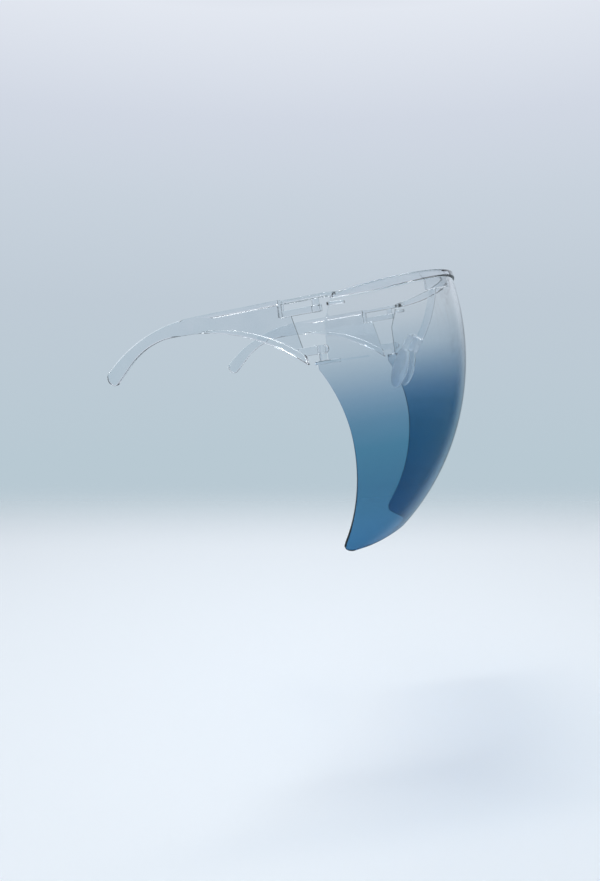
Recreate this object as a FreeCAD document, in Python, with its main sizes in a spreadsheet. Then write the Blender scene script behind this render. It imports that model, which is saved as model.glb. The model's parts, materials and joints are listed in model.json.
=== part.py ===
import FreeCAD, Part
import math
import os
import re
import Sketcher

# Face shield on a spectacle frame.
# Design axes: X to the wearer's left, Y to the rear, Z up along the hinge axes.
# Design origin: midway between the two hinge axes, at the level of the upper hinge pegs.

document = FreeCAD.newDocument("FaceShield")
sheet = document.addObject("Spreadsheet::Sheet", "Sizes")

DRIVING_SIZES = {
    # How the shield sits when worn
    "wear_pitch": 9,
    "nose_seat_forward": 32.8,
    "nose_seat_drop": 26,
    # Curved shell: a side to side arc carried down a second arc
    "shell_side_radius": 73.7,
    "shell_profile_radius": 161.4,
    "shell_reach": 62.7,
    "apex_drop": 24.3,
    "lens_thickness": 2,
    # Side outline of the visor
    "brow_rear_forward": 6.8,
    "brow_rear_level": 1.2,
    "brow_front_level": 10,
    "brow_edge_radius": 180,
    "lens_edge_forward": 1.5,
    "lens_edge_drop": 12,
    "heel_length": 4.6,
    "heel_height": 4.6,
    "cheek_forward": 7.6,
    "cheek_drop": 79,
    "cheek_radius": 111.5,
    "lens_height": 146,
    "chin_corner_radius": 3.2,
    "chin_arch_rise": 3,
    "chin_arch_half_width": 44,
    "chin_arch_foot": 0.2,
    "upper_rib_length": 8.5,
    "upper_rib_height": 1.7,
    "upper_rib_depth": 1.8,
    "upper_rib_drop": 2.6,
    # Brow bar
    "bar_proud": 1.2,
    "bar_inset": 1.8,
    "bar_rear_height": 2.1,
    "bar_front_height": 2.8,
    "nose_block_width": 8,
    "nose_block_level": 2.4,
    "nose_block_height": 7.4,
    "nose_block_wall": 1.4,
    # Hinges
    "hinge_standoff": 3.4,
    "hinge_height": 33.3,
    "upper_ear_level": 1.9,
    "upper_ear_thickness": 1.8,
    "upper_ear_tail": 16,
    "upper_ear_root": 14,
    "ear_half_width": 3.4,
    "ear_tail_radius": 3.6,
    "lower_ear_thickness": 2,
    "lower_ear_front": 8,
    "lower_rib_length": 22.4,
    "lower_rib_height": 1,
    "lower_rib_depth": 1.6,
    "rib_tip_depth": 0.2,
    "peg_gap": 3.7,
    "peg_collar_diameter": 4,
    "peg_stub_diameter": 2.4,
    "peg_stub_depth": 2.4,
    "peg_clearance": 0.05,
    "peg_play": 0.1,
    # Temples
    "lug_width": 3.2,
    "lug_boss_radius": 2.3,
    "upper_lug_height": 3.5,
    "upper_lug_reach": 3.4,
    "lower_lug_height": 4.6,
    "lower_lug_reach": 4,
    "lower_lug_tail": 13,
    "temple_top": 4.3,
    "temple_start": 18.8,
    "temple_block_length": 2.6,
    "temple_block_thickness": 4.2,
    "temple_straight": 76,
    "temple_bend_radius": 102,
    "temple_turn": 40,
    "temple_depth": 9.2,
    "temple_waist_front": 84,
    "temple_waist_rear": 91,
    "ear_hook_radius": 50,
    "temple_tip_ease": 0.2,
    "temple_foot_rear": 8.2,
    "temple_foot_below_lug": 4.9,
    "web_front_rear": 14.4,
    "temple_thickness": 2.4,
    "web_thickness": 1.1,
    "web_length": 52,
    "web_fade": 26,
    "rail_thickness": 3.6,
    "top_rail_height": 2.6,
    "top_rail_length": 62,
    "bottom_rail_height": 5.6,
    "bottom_rail_radius": 105,
    # Nose piece
    "saddle_lean": 34,
    "stem_radius": 69,
    "stem_depth": 4.4,
    "stem_width": 3.2,
    "stem_tongue_depth": 1.6,
    "stem_tongue_width": 2,
    "stem_tongue_length": 4,
    "saddle_wall": 5,
    "saddle_side_wall": 2.5,
    "saddle_half_width": 6.5,
    "saddle_depth": 4.5,
    "saddle_above_seat": 2.5,
    "saddle_below_seat": 6.5,
    "pad_length": 26.4,
    "pad_width": 9.8,
    "pad_thickness": 3.2,
    "pad_swing": 14,
    "pad_splay": 11,
    "pad_root_rear": 1.4,
    "pad_root_overlap": 1.6,
    "pad_root_side": 7.2,
}

for row, (size_name, number) in enumerate(DRIVING_SIZES.items(), start=1):
    sheet.set(f"A{row}", size_name)
    sheet.set(f"B{row}", str(number))
    sheet.setAlias(f"B{row}", size_name)
document.recompute()

NAME_PATTERN = re.compile(r"\b[a-z][a-z_]*\b")


def bound(formula):
    return NAME_PATTERN.sub(
        lambda word: f"Sizes.{word.group(0)}" if word.group(0) in DRIVING_SIZES else word.group(0),
        formula,
    )


def value(formula):
    return float(sheet.evalExpression(bound(formula)))


def bind(target, prop, formula):
    target.setExpression(prop, bound(formula))


# Formulas shared by several pieces


def shell_apex(level, offset="0"):
    run = f"sqrt((shell_profile_radius + ({offset}))^2 - (({level}) + apex_drop)^2)"
    return f"(shell_reach - shell_profile_radius + {run})"


def shell_half_width(forward, level, offset="0"):
    radius = f"(shell_side_radius + ({offset}))"
    ahead = f"(({forward}) - {shell_apex(level, offset)} + {radius})"
    return f"sqrt({radius}^2 - {ahead}^2)"


BAR_INNER_OFFSET = "-(lens_thickness + bar_inset)"
PIVOT_X = f"({shell_half_width('0', '0')} + hinge_standoff)"
TEMPLE_X = f"({PIVOT_X} + lug_width / 2)"
OUTLINE_FRONT = "(shell_reach + bar_proud + lens_thickness)"

UPPER_LUG_TOP = "(upper_ear_level - peg_gap)"
UPPER_LUG_BOTTOM = "(upper_ear_level - peg_gap - upper_lug_height)"
LOWER_EAR_TOP = "(upper_ear_level - hinge_height)"
LOWER_EAR_BOTTOM = f"({LOWER_EAR_TOP} - lower_ear_thickness)"
LOWER_LUG_BOTTOM = f"({LOWER_EAR_TOP} + peg_gap)"
LOWER_LUG_TOP = f"({LOWER_LUG_BOTTOM} + lower_lug_height)"

SEAT_Y = "(nose_seat_forward * cos(wear_pitch) + nose_seat_drop * sin(wear_pitch))"
SEAT_Z = "(nose_seat_drop * cos(wear_pitch) - nose_seat_forward * sin(wear_pitch))"

# Middle of the stem's lower end, on top of the saddle, then the centre of the stem's arc
STEM_END_Y = (
    "(-nose_seat_forward - saddle_above_seat * sin(saddle_lean) - saddle_wall / 2 * cos(saddle_lean))"
)
STEM_END_Z = (
    "(-nose_seat_drop + saddle_above_seat * cos(saddle_lean) - saddle_wall / 2 * sin(saddle_lean))"
)
STEM_CENTRE_Y = f"({STEM_END_Y} + stem_radius * cos(saddle_lean))"
STEM_CENTRE_Z = f"({STEM_END_Z} + stem_radius * sin(saddle_lean))"


def stem_face_y(side):
    radius = f"(stem_radius + {side} * stem_depth / 2)"
    return f"({STEM_CENTRE_Y} - sqrt({radius}^2 - (nose_block_level - {STEM_CENTRE_Z})^2))"


def stem_end(side, axis):
    if axis == "y":
        return f"({STEM_END_Y} - ({side}) * cos(saddle_lean))"
    return f"({STEM_END_Z} - ({side}) * sin(saddle_lean))"


# Bodies and sketches


def new_body(label):
    body = document.addObject("PartDesign::Body", label)
    body.Label = label
    return body


def place_in_worn_pose(piece):
    piece.Placement = FreeCAD.Placement(
        FreeCAD.Vector(0, value(SEAT_Y), value(SEAT_Z)),
        FreeCAD.Rotation(FreeCAD.Vector(1, 0, 0), -value("wear_pitch")),
    )
    bind(piece, "Placement.Base.y", SEAT_Y)
    bind(piece, "Placement.Base.z", SEAT_Z)
    bind(piece, "Placement.Rotation.Angle", "-wear_pitch")


def place_on_nose(piece):
    piece.Placement = FreeCAD.Placement(
        FreeCAD.Vector(),
        FreeCAD.Rotation(FreeCAD.Vector(1, 0, 0), value("saddle_lean - wear_pitch")),
    )
    bind(piece, "Placement.Rotation.Angle", "saddle_lean - wear_pitch")


def new_sketch(body, name, plane_role, offset="0"):
    sketch = body.newObject("Sketcher::SketchObject", name)
    planes = [item for item in body.Origin.OriginFeatures if item.Role == plane_role]
    sketch.AttachmentSupport = [(planes[0], "")]
    sketch.MapMode = "FlatFace"
    sketch.AttachmentOffset = FreeCAD.Placement(
        FreeCAD.Vector(0, 0, value(offset)), FreeCAD.Rotation()
    )
    bind(sketch, "AttachmentOffset.Base.z", offset)
    return sketch


def dimension(sketch, constraint, formula):
    index = sketch.addConstraint(constraint)
    bind(sketch, f"Constraints[{index}]", formula)


def fix_point(sketch, geometry, end, formula_u, formula_v):
    dimension(sketch, Sketcher.Constraint("DistanceX", geometry, end, value(formula_u)), formula_u)
    dimension(sketch, Sketcher.Constraint("DistanceY", geometry, end, value(formula_v)), formula_v)


def arc_between(start, end, radius, turn):
    chord = end - start
    rise = math.sqrt(radius ** 2 - (chord.Length / 2) ** 2)
    left = FreeCAD.Vector(-chord.y, chord.x, 0).normalize()
    centre = start + chord * 0.5 + left * rise * turn
    angles = [math.atan2(point.y - centre.y, point.x - centre.x) for point in (start, end)]
    if turn < 0:
        angles.reverse()
    circle = Part.Circle(centre, FreeCAD.Vector(0, 0, 1), radius)
    return Part.ArcOfCircle(circle, angles[0], angles[1])


def draw_loop(sketch, corners):
    # Each corner is (u, v) or (u, v, radius, turn): the last two bend the run to the next corner,
    # to the left for a turn of 1 and to the right for a turn of -1.
    points = [FreeCAD.Vector(value(corner[0]), value(corner[1]), 0) for corner in corners]
    runs = []
    for number, corner in enumerate(corners):
        start = points[number]
        end = points[(number + 1) % len(points)]
        if len(corner) == 2:
            runs.append((sketch.addGeometry(Part.LineSegment(start, end)), 1, 2))
        else:
            arc = sketch.addGeometry(arc_between(start, end, value(corner[2]), corner[3]))
            runs.append((arc, 1, 2) if corner[3] > 0 else (arc, 2, 1))
    for number, corner in enumerate(corners):
        geometry, first, last = runs[number]
        following, following_first, _ = runs[(number + 1) % len(runs)]
        sketch.addConstraint(
            Sketcher.Constraint("Coincident", geometry, last, following, following_first)
        )
        fix_point(sketch, geometry, first, corner[0], corner[1])
        if len(corner) == 4:
            dimension(sketch, Sketcher.Constraint("Radius", geometry, value(corner[2])), corner[2])


def draw_circle(sketch, centre_u, centre_v, radius):
    centre = FreeCAD.Vector(value(centre_u), value(centre_v), 0)
    circle = sketch.addGeometry(Part.Circle(centre, FreeCAD.Vector(0, 0, 1), value(radius)))
    dimension(sketch, Sketcher.Constraint("Radius", circle, value(radius)), radius)
    dimension(sketch, Sketcher.Constraint("DistanceX", circle, 3, value(centre_u)), centre_u)
    if centre_v == "0":
        sketch.addConstraint(Sketcher.Constraint("PointOnObject", circle, 3, -1))
    else:
        dimension(sketch, Sketcher.Constraint("DistanceY", circle, 3, value(centre_v)), centre_v)


def pad(body, sketch, length, symmetric=False):
    feature = body.newObject("PartDesign::Pad", f"{sketch.Name}_pad")
    feature.Profile = sketch
    feature.SideType = "Symmetric" if symmetric else "One side"
    feature.Length = value(length)
    bind(feature, "Length", length)
    return feature


def pocket_through(body, sketch):
    before = body.Shape.Volume
    feature = body.newObject("PartDesign::Pocket", f"{sketch.Name}_cut")
    feature.Profile = sketch
    feature.Type = "ThroughAll"
    feature.SideType = "Symmetric"
    document.recompute()
    if body.Shape.Volume >= before:
        raise RuntimeError(f"{feature.Name} removed nothing")
    return feature


def pocket_to_depth(body, sketch, depth, upward=False):
    before = body.Shape.Volume
    feature = body.newObject("PartDesign::Pocket", f"{sketch.Name}_cut")
    feature.Profile = sketch
    feature.Reversed = upward
    feature.Length = value(depth)
    bind(feature, "Length", depth)
    document.recompute()
    if body.Shape.Volume >= before:
        raise RuntimeError(f"{feature.Name} removed nothing")
    return feature


# The curved shell, as a pipe that carries a half disc along the profile arc without turning it

SHELL_TOP = "(brow_front_level + bar_front_height + bar_proud + lens_thickness)"
SHELL_BOTTOM = "(-lens_height - lens_thickness)"
PROFILE_CENTRE_Y = "(shell_profile_radius - shell_reach)"


def shell_section(body, name, offset, back):
    radius = f"(shell_side_radius + ({offset}))"
    centre_y = f"({radius} - {shell_apex(SHELL_TOP, offset)})"
    section = new_sketch(body, f"{name}_section", "XY_Plane", SHELL_TOP)
    centre = FreeCAD.Vector(0, value(centre_y), 0)
    circle = Part.Circle(centre, FreeCAD.Vector(0, 0, 1), value(radius))
    arc = section.addGeometry(Part.ArcOfCircle(circle, math.pi, 2 * math.pi))
    reach = FreeCAD.Vector(value(radius), 0, 0)
    depth = FreeCAD.Vector(0, value(back), 0)
    corners = [centre + reach, centre + reach + depth, centre - reach + depth, centre - reach]
    sides = [
        section.addGeometry(Part.LineSegment(corners[number], corners[number + 1]))
        for number in range(3)
    ]
    section.addConstraint(Sketcher.Constraint("PointOnObject", arc, 3, -2))
    dimension(section, Sketcher.Constraint("DistanceY", arc, 3, value(centre_y)), centre_y)
    dimension(section, Sketcher.Constraint("Radius", arc, value(radius)), radius)
    for first, last in ((arc, sides[0]), (sides[0], sides[1]), (sides[1], sides[2]), (sides[2], arc)):
        section.addConstraint(Sketcher.Constraint("Coincident", first, 2, last, 1))
    section.addConstraint(Sketcher.Constraint("Horizontal", arc, 1, arc, 3))
    section.addConstraint(Sketcher.Constraint("Horizontal", arc, 2, arc, 3))
    section.addConstraint(Sketcher.Constraint("Vertical", sides[0]))
    section.addConstraint(Sketcher.Constraint("Vertical", sides[2]))
    section.addConstraint(Sketcher.Constraint("Horizontal", sides[1]))
    dimension(section, Sketcher.Constraint("DistanceY", sides[0], 1, sides[0], 2, value(back)), back)
    return section


def shell_path(body, name, offset):
    radius = f"(shell_profile_radius + ({offset}))"
    path = new_sketch(body, f"{name}_path", "YZ_Plane")
    centre = FreeCAD.Vector(value(PROFILE_CENTRE_Y), -value("apex_drop"), 0)
    upper = math.asin((value(SHELL_TOP) - centre.y) / value(radius))
    lower = math.asin((centre.y - value(SHELL_BOTTOM)) / value(radius))
    circle = Part.Circle(centre, FreeCAD.Vector(0, 0, 1), value(radius))
    arc = path.addGeometry(Part.ArcOfCircle(circle, math.pi - upper, math.pi + lower))
    fix_point(path, arc, 3, PROFILE_CENTRE_Y, "-apex_drop")
    dimension(path, Sketcher.Constraint("Radius", arc, value(radius)), radius)
    dimension(path, Sketcher.Constraint("DistanceY", arc, 1, value(SHELL_TOP)), SHELL_TOP)
    dimension(path, Sketcher.Constraint("DistanceY", arc, 2, value(SHELL_BOTTOM)), SHELL_BOTTOM)
    return path


def shell_pipe(body, name, offset, back, kind):
    section = shell_section(body, name, offset, back)
    path = shell_path(body, name, offset)
    pipe = body.newObject(f"PartDesign::{kind}", name)
    pipe.Profile = section
    pipe.Spine = (path, ["Edge1"])
    pipe.Mode = "Fixed"
    document.recompute()
    return pipe


def keep_inside(body, name, corners):
    # Everything outside the side outline goes
    sketch = new_sketch(body, name, "YZ_Plane")
    reach = "(2 * (shell_side_radius + shell_profile_radius))"
    draw_loop(
        sketch,
        [
            (f"-{reach}", f"-{reach}"),
            (reach, f"-{reach}"),
            (reach, reach),
            (f"-{reach}", reach),
        ],
    )
    draw_loop(sketch, corners)
    pocket_through(body, sketch)


# Visor

BROW_FRONT = (f"-{OUTLINE_FRONT}", "brow_front_level")
BROW_REAR = ("-brow_rear_forward", "brow_rear_level")
HEEL_BOTTOM = f"({LOWER_EAR_TOP} - heel_height)"
CHEEK_RISE = f"({HEEL_BOTTOM} + cheek_drop)"
CHEEK_RUN = "(cheek_forward + heel_length)"
CHEEK_UPPER_RADIUS = f"(({CHEEK_RISE}^2 + {CHEEK_RUN}^2) / (2 * {CHEEK_RUN}))"
CHIN_SINE = "((lens_height - cheek_drop) / cheek_radius)"
CHIN_COSINE = f"sqrt(1 - {CHIN_SINE}^2)"
CHIN_TIP_Y = f"(-cheek_forward + cheek_radius * (1 - {CHIN_COSINE}))"
CHIN_RUN = f"(chin_corner_radius * {CHIN_COSINE} / (1 - {CHIN_SINE}))"
CHIN_ARCH_FOOT = "(-lens_height - chin_arch_foot)"
CHIN_ARCH_HEIGHT = "(chin_arch_rise + chin_arch_foot)"
CHIN_ARCH_RADIUS = f"((chin_arch_half_width^2 + {CHIN_ARCH_HEIGHT}^2) / (4 * {CHIN_ARCH_HEIGHT}))"


def make_visor_lens():
    lens = new_body("visor_lens")
    shell_pipe(lens, "lens_outer", "0", "lens_thickness", "AdditivePipe")
    shell_pipe(lens, "lens_inner", "-lens_thickness", "shell_side_radius", "SubtractivePipe")
    keep_inside(
        lens,
        "lens_outline",
        [
            BROW_REAR,
            ("-lens_edge_forward", "-lens_edge_drop"),
            ("-lens_edge_forward", LOWER_EAR_TOP),
            ("heel_length", LOWER_EAR_TOP),
            ("heel_length", HEEL_BOTTOM, CHEEK_UPPER_RADIUS, 1),
            ("-cheek_forward", "-cheek_drop", "cheek_radius", 1),
            (
                f"({CHIN_TIP_Y} - {CHIN_RUN} * {CHIN_SINE})",
                f"(-lens_height + {CHIN_RUN} * {CHIN_COSINE})",
                "chin_corner_radius",
                -1,
            ),
            (f"({CHIN_TIP_Y} - {CHIN_RUN})", "-lens_height"),
            (f"-{OUTLINE_FRONT}", "-lens_height"),
            (*BROW_FRONT, "brow_edge_radius", 1),
        ],
    )
    arch = new_sketch(lens, "chin_arch", "XZ_Plane")
    middle = f"({CHIN_ARCH_FOOT} + {CHIN_ARCH_HEIGHT} / 2)"
    draw_loop(
        arch,
        [
            ("-chin_arch_half_width", CHIN_ARCH_FOOT, CHIN_ARCH_RADIUS, 1),
            ("-chin_arch_half_width / 2", middle, CHIN_ARCH_RADIUS, -1),
            ("chin_arch_half_width / 2", middle, CHIN_ARCH_RADIUS, 1),
            ("chin_arch_half_width", CHIN_ARCH_FOOT),
        ],
    )
    pocket_through(lens, arch)
    ribs = new_sketch(lens, "upper_ribs", "XY_Plane", "-upper_rib_drop")
    rear = "(brow_rear_forward - upper_rib_depth)"
    front = f"({rear} + upper_rib_length)"
    rib_corners = [
        (rear, "upper_rib_depth"),
        (front, "rib_tip_depth"),
        (front, "-lens_thickness / 2"),
        (rear, "-lens_thickness / 2"),
    ]
    for side in ("", "-"):
        draw_loop(
            ribs,
            [
                (f"{side}{shell_half_width(forward, '-upper_rib_drop', depth)}", f"-{forward}")
                for forward, depth in rib_corners
            ],
        )
    pad(lens, ribs, "upper_rib_height")
    return lens


# Brow bar, with the upper hinge ears and the block that carries the nose stem


def make_brow_bar():
    bar = new_body("brow_bar")
    shell_pipe(bar, "bar_outer", "bar_proud", "lens_thickness", "AdditivePipe")
    shell_pipe(bar, "bar_inner", BAR_INNER_OFFSET, "shell_side_radius", "SubtractivePipe")
    keep_inside(
        bar,
        "bar_outline",
        [
            (*BROW_FRONT, "brow_edge_radius", 1),
            BROW_REAR,
            ("-brow_rear_forward", "brow_rear_level + bar_rear_height"),
            (f"-{OUTLINE_FRONT}", "brow_front_level + bar_front_height"),
        ],
    )
    block = new_sketch(bar, "nose_block", "YZ_Plane")
    block_rear = f"({stem_face_y('-1')} + nose_block_wall)"
    block_top = "(nose_block_level + nose_block_height)"
    draw_loop(
        block,
        [
            (block_rear, "nose_block_level"),
            (block_rear, block_top),
            (f"(-{shell_apex(block_top, BAR_INNER_OFFSET)} - bar_inset / 2)", block_top),
            (f"(-{shell_apex('nose_block_level', BAR_INNER_OFFSET)} - bar_inset / 2)", "nose_block_level"),
        ],
    )
    pad(bar, block, "nose_block_width", symmetric=True)
    ears = new_sketch(bar, "upper_ears", "XY_Plane", "upper_ear_level")
    holes = new_sketch(bar, "upper_ear_holes", "XY_Plane", "upper_ear_level")
    root_outer = shell_half_width("upper_ear_root", "upper_ear_level", "bar_proud / 2")
    root_inner = shell_half_width("upper_ear_root", "upper_ear_level", f"{BAR_INNER_OFFSET} + bar_inset / 2")
    for side, turn in (("", 1), ("-", -1)):
        draw_loop(
            ears,
            [
                (f"{side}({PIVOT_X} + ear_half_width)", "-brow_rear_forward"),
                (f"{side}({PIVOT_X} + ear_half_width)", "upper_ear_tail", "ear_tail_radius", turn),
                (f"{side}({PIVOT_X} - ear_half_width)", "upper_ear_tail"),
                (f"{side}({PIVOT_X} - ear_half_width)", "-brow_rear_forward"),
                (f"{side}{root_inner}", "-upper_ear_root"),
                (f"{side}{root_outer}", "-upper_ear_root"),
            ],
        )
        draw_circle(holes, f"{side}{PIVOT_X}", "0", "peg_stub_diameter / 2 + peg_clearance")
    pad(bar, ears, "upper_ear_thickness")
    document.recompute()
    pocket_through(bar, holes)
    return bar


# Lower hinge ear, bonded to the outside of the visor, with a rib that runs forward


def make_lower_hinge_ear(label, side):
    ear = new_body(label)
    plate = new_sketch(ear, f"{label}_plate", "XY_Plane", LOWER_EAR_BOTTOM)
    turn = 1 if side == "" else -1
    inside = "(-lens_thickness)"
    draw_loop(
        plate,
        [
            (f"{side}({PIVOT_X} + ear_half_width)", "-lens_edge_forward"),
            (f"{side}({PIVOT_X} + ear_half_width)", "lens_edge_forward", "ear_half_width", turn),
            (f"{side}{PIVOT_X}", "lens_edge_forward + ear_half_width"),
            (
                f"{side}{shell_half_width('-lens_edge_forward - ear_half_width', LOWER_EAR_TOP, inside)}",
                "lens_edge_forward + ear_half_width",
            ),
            (
                f"{side}{shell_half_width('lower_ear_front', LOWER_EAR_TOP, inside)}",
                "-lower_ear_front",
            ),
            (
                f"{side}{shell_half_width('lower_ear_front', LOWER_EAR_TOP, 'lower_rib_depth')}",
                "-lower_ear_front",
            ),
        ],
    )
    pad(ear, plate, "lower_ear_thickness")
    rib_bottom = f"({LOWER_EAR_BOTTOM} + (lower_ear_thickness - lower_rib_height) / 2)"
    rib = new_sketch(ear, f"{label}_rib", "XY_Plane", rib_bottom)
    rib_corners = [
        ("lower_ear_front - lower_rib_depth", "lower_rib_depth"),
        ("lower_ear_front - lower_rib_depth", inside),
        ("lower_rib_length", inside),
        ("lower_rib_length", "rib_tip_depth"),
    ]
    draw_loop(
        rib,
        [
            (f"{side}{shell_half_width(forward, LOWER_EAR_TOP, depth)}", f"-({forward})")
            for forward, depth in rib_corners
        ],
    )
    pad(ear, rib, "lower_rib_height")
    document.recompute()
    shell_pipe(ear, f"{label}_seat", "0", "shell_side_radius", "SubtractivePipe")
    hole = new_sketch(ear, f"{label}_hole", "XY_Plane", LOWER_EAR_BOTTOM)
    draw_circle(hole, f"{side}{PIVOT_X}", "0", "peg_stub_diameter / 2 + peg_clearance")
    pocket_through(ear, hole)
    return ear


# Hinge pegs: a collar between the ear and the lug, with a stub at each end


def make_peg(label, side, lug_face, ear_far_face, away):
    peg = new_body(label)
    collar_end = f"({lug_face} + {away} * (peg_gap - peg_play))"
    stub_end = f"({lug_face} - {away} * peg_stub_depth)"
    profile = new_sketch(peg, f"{label}_profile", "XZ_Plane")
    axis = f"{side}{PIVOT_X}"
    stub = f"({axis} + peg_stub_diameter / 2)"
    collar = f"({axis} + peg_collar_diameter / 2)"
    draw_loop(
        profile,
        [
            (axis, stub_end),
            (stub, stub_end),
            (stub, lug_face),
            (collar, lug_face),
            (collar, collar_end),
            (stub, collar_end),
            (stub, ear_far_face),
            (axis, ear_far_face),
        ],
    )
    turned = peg.newObject("PartDesign::Revolution", f"{label}_turned")
    turned.Profile = profile
    turned.ReferenceAxis = (profile, ["Edge8"])
    turned.Angle = 360
    return peg


# Temples

LOWER_EDGE_Z = "(temple_top - temple_depth)"
FOOT_Z = f"({LOWER_LUG_BOTTOM} - temple_foot_below_lug)"
FLARE_RUN = "(temple_waist_front - temple_foot_rear)"
FLARE_DROP = f"({LOWER_EDGE_Z} - {FOOT_Z})"
FLARE_RADIUS = f"(({FLARE_RUN}^2 + {FLARE_DROP}^2) / (2 * {FLARE_DROP}))"
BEND_END_Y = "(temple_straight + temple_bend_radius * sin(temple_turn))"
BEND_END_Z = "(temple_top - temple_bend_radius * (1 - cos(temple_turn)))"
HOOK_END_Y = "(temple_waist_rear + ear_hook_radius * sin(temple_turn))"
HOOK_END_Z = f"({LOWER_EDGE_Z} - ear_hook_radius * (1 - cos(temple_turn)))"
TIP_WIDTH = (
    f"(({BEND_END_Y} - {HOOK_END_Y}) * sin(temple_turn) + ({BEND_END_Z} - {HOOK_END_Z}) * cos(temple_turn))"
)
TIP_RADIUS = f"({TIP_WIDTH} / 2 + temple_tip_ease)"
WEB_SLOPE = f"((web_front_rear - temple_foot_rear) / ({UPPER_LUG_BOTTOM} - {FOOT_Z}))"


def make_temple(label, side):
    temple = new_body(label)
    centre = f"{side}{TEMPLE_X}"
    plate = new_sketch(temple, f"{label}_plate", "YZ_Plane", centre)
    draw_loop(
        plate,
        [
            ("temple_start", "temple_top"),
            ("temple_start", UPPER_LUG_BOTTOM),
            ("web_front_rear", UPPER_LUG_BOTTOM),
            ("temple_foot_rear", FOOT_Z, FLARE_RADIUS, -1),
            ("temple_waist_front", LOWER_EDGE_Z),
            ("temple_waist_rear", LOWER_EDGE_Z, "ear_hook_radius", -1),
            (HOOK_END_Y, HOOK_END_Z),
            (
                f"({BEND_END_Y} - {TIP_WIDTH} * sin(temple_turn))",
                f"({BEND_END_Z} - {TIP_WIDTH} * cos(temple_turn))",
                TIP_RADIUS,
                1,
            ),
            (BEND_END_Y, BEND_END_Z, "temple_bend_radius", 1),
            ("temple_straight", "temple_top"),
        ],
    )
    pad(temple, plate, "temple_thickness", symmetric=True)
    document.recompute()

    # The web in front is thinner on both faces and fades into the plain bar
    thinning = new_sketch(temple, f"{label}_thinning", "XY_Plane")
    for face in ("-1", "1"):
        inner = f"({centre} + {face} * web_thickness / 2)"
        outer = f"({centre} + {face} * temple_thickness / 2)"
        clear = f"({centre} + {face} * temple_thickness)"
        draw_loop(
            thinning,
            [
                (inner, "-temple_foot_rear"),
                (inner, "web_length"),
                (outer, "web_length + web_fade"),
                (clear, "web_length + web_fade"),
                (clear, "-temple_foot_rear"),
            ],
        )
    pocket_through(temple, thinning)

    top_rail = new_sketch(temple, f"{label}_top_rail", "YZ_Plane", centre)
    draw_loop(
        top_rail,
        [
            ("temple_start", "temple_top"),
            ("temple_start", "temple_top - top_rail_height"),
            ("top_rail_length", "temple_top - top_rail_height"),
            ("temple_straight", "temple_top"),
        ],
    )
    pad(temple, top_rail, "rail_thickness", symmetric=True)

    bottom_rail = new_sketch(temple, f"{label}_bottom_rail", "YZ_Plane", centre)
    draw_loop(
        bottom_rail,
        [
            ("temple_foot_rear", FOOT_Z, FLARE_RADIUS, -1),
            ("temple_waist_front", LOWER_EDGE_Z, "bottom_rail_radius", 1),
            (
                f"temple_foot_rear + bottom_rail_height * {WEB_SLOPE}",
                f"{FOOT_Z} + bottom_rail_height",
            ),
        ],
    )
    pad(temple, bottom_rail, "rail_thickness", symmetric=True)

    block = new_sketch(temple, f"{label}_block", "YZ_Plane", centre)
    draw_loop(
        block,
        [
            ("temple_start", "temple_top"),
            ("temple_start", UPPER_LUG_BOTTOM),
            ("temple_start + temple_block_length", UPPER_LUG_BOTTOM),
            ("temple_start + temple_block_length", "temple_top"),
        ],
    )
    pad(temple, block, "temple_block_thickness", symmetric=True)

    upper_lug = new_sketch(temple, f"{label}_upper_lug", "YZ_Plane", centre)
    draw_loop(
        upper_lug,
        [
            ("temple_start + temple_block_length", UPPER_LUG_TOP),
            ("-upper_lug_reach", UPPER_LUG_TOP),
            ("-upper_lug_reach", UPPER_LUG_BOTTOM),
            ("temple_start + temple_block_length", UPPER_LUG_BOTTOM),
        ],
    )
    pad(temple, upper_lug, "lug_width", symmetric=True)

    lower_lug = new_sketch(temple, f"{label}_lower_lug", "YZ_Plane", centre)
    lug_round = "(lower_lug_height / 2)"
    draw_loop(
        lower_lug,
        [
            ("lower_lug_tail", LOWER_LUG_TOP),
            (f"-lower_lug_reach + {lug_round}", LOWER_LUG_TOP, lug_round, 1),
            ("-lower_lug_reach", f"{LOWER_LUG_TOP} - {lug_round}", lug_round, 1),
            (f"-lower_lug_reach + {lug_round}", LOWER_LUG_BOTTOM),
            ("lower_lug_tail", LOWER_LUG_BOTTOM),
        ],
    )
    pad(temple, lower_lug, "lug_width", symmetric=True)

    for name, bottom, height in (
        ("upper_boss", UPPER_LUG_BOTTOM, "upper_lug_height"),
        ("lower_boss", LOWER_LUG_BOTTOM, "lower_lug_height"),
    ):
        boss = new_sketch(temple, f"{label}_{name}", "XY_Plane", bottom)
        draw_circle(boss, f"{side}{PIVOT_X}", "0", "lug_boss_radius")
        pad(temple, boss, height)
    document.recompute()

    upper_hole = new_sketch(temple, f"{label}_upper_hole", "XY_Plane", UPPER_LUG_TOP)
    draw_circle(upper_hole, f"{side}{PIVOT_X}", "0", "peg_stub_diameter / 2")
    pocket_to_depth(temple, upper_hole, "peg_stub_depth")
    lower_hole = new_sketch(temple, f"{label}_lower_hole", "XY_Plane", LOWER_LUG_BOTTOM)
    draw_circle(lower_hole, f"{side}{PIVOT_X}", "0", "peg_stub_diameter / 2")
    pocket_to_depth(temple, lower_hole, "peg_stub_depth", upward=True)
    return temple


# Nose piece: a bowed stem, a soft saddle over the bridge and two soft pads below it


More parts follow.
